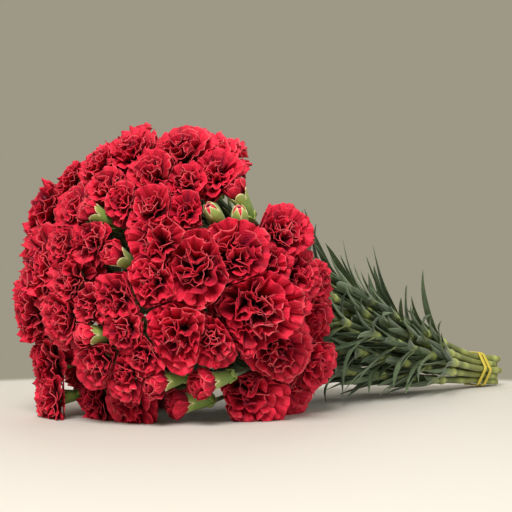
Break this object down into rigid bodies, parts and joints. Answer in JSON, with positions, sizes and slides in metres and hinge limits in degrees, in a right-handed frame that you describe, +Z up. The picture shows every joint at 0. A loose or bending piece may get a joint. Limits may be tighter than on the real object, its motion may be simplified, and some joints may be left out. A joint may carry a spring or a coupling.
{
  "type": "bunch of carnations",
  "caption": "Tied bunch of red spray carnations lying on its side: domed head of ruffled blooms and buds, leafy stems, yellow rubber band.",
  "frame": {"origin": "middle of the bounding box's underside, on the surface the bunch lies on", "axes": "+X along the stems towards their cut ends, +Z up"},
  "size_m": [0.4938, 0.2332, 0.2072],
  "materials": {
    "petal_red": "velvety",
    "stem_green": "waxy",
    "band_rubber": "matte"
  },
  "bodies": {
    "root": {"blooms_01": "petal_red", "blooms_02": "petal_red", "blooms_03": "petal_red", "blooms_04": "petal_red", "blooms_05": "petal_red", "blooms_06": "petal_red", "blooms_07": "petal_red", "blooms_08": "petal_red", "blooms_09": "petal_red", "blooms_10": "petal_red", "blooms_11": "petal_red", "blooms_12": "petal_red", "blooms_13": "petal_red", "blooms_14": "petal_red", "blooms_15": "petal_red", "blooms_16": "petal_red", "blooms_17": "petal_red", "blooms_18": "petal_red", "blooms_19": "petal_red", "blooms_20": "petal_red", "blooms_21": "petal_red", "blooms_22": "petal_red", "blooms_23": "petal_red", "blooms_24": "petal_red", "blooms_25": "petal_red", "blooms_26": "petal_red", "blooms_27": "petal_red", "blooms_28": "petal_red", "blooms_29": "petal_red", "blooms_30": "petal_red", "blooms_31": "petal_red", "blooms_32": "petal_red", "blooms_33": "petal_red", "blooms_34": "petal_red", "blooms_35": "petal_red", "blooms_36": "petal_red", "blooms_37": "petal_red", "blooms_38": "petal_red", "rubber_band": "band_rubber", "stem_01": "stem_green", "stem_02": "stem_green", "stem_03": "stem_green", "stem_04": "stem_green", "stem_05": "stem_green", "stem_06": "stem_green", "stem_07": "stem_green", "stem_08": "stem_green", "stem_09": "stem_green", "stem_10": "stem_green", "stem_11": "stem_green", "stem_12": "stem_green", "stem_13": "stem_green", "stem_14": "stem_green", "stem_15": "stem_green", "stem_16": "stem_green", "stem_17": "stem_green", "stem_18": "stem_green", "stem_19": "stem_green"}
  },
  "joints": []
}
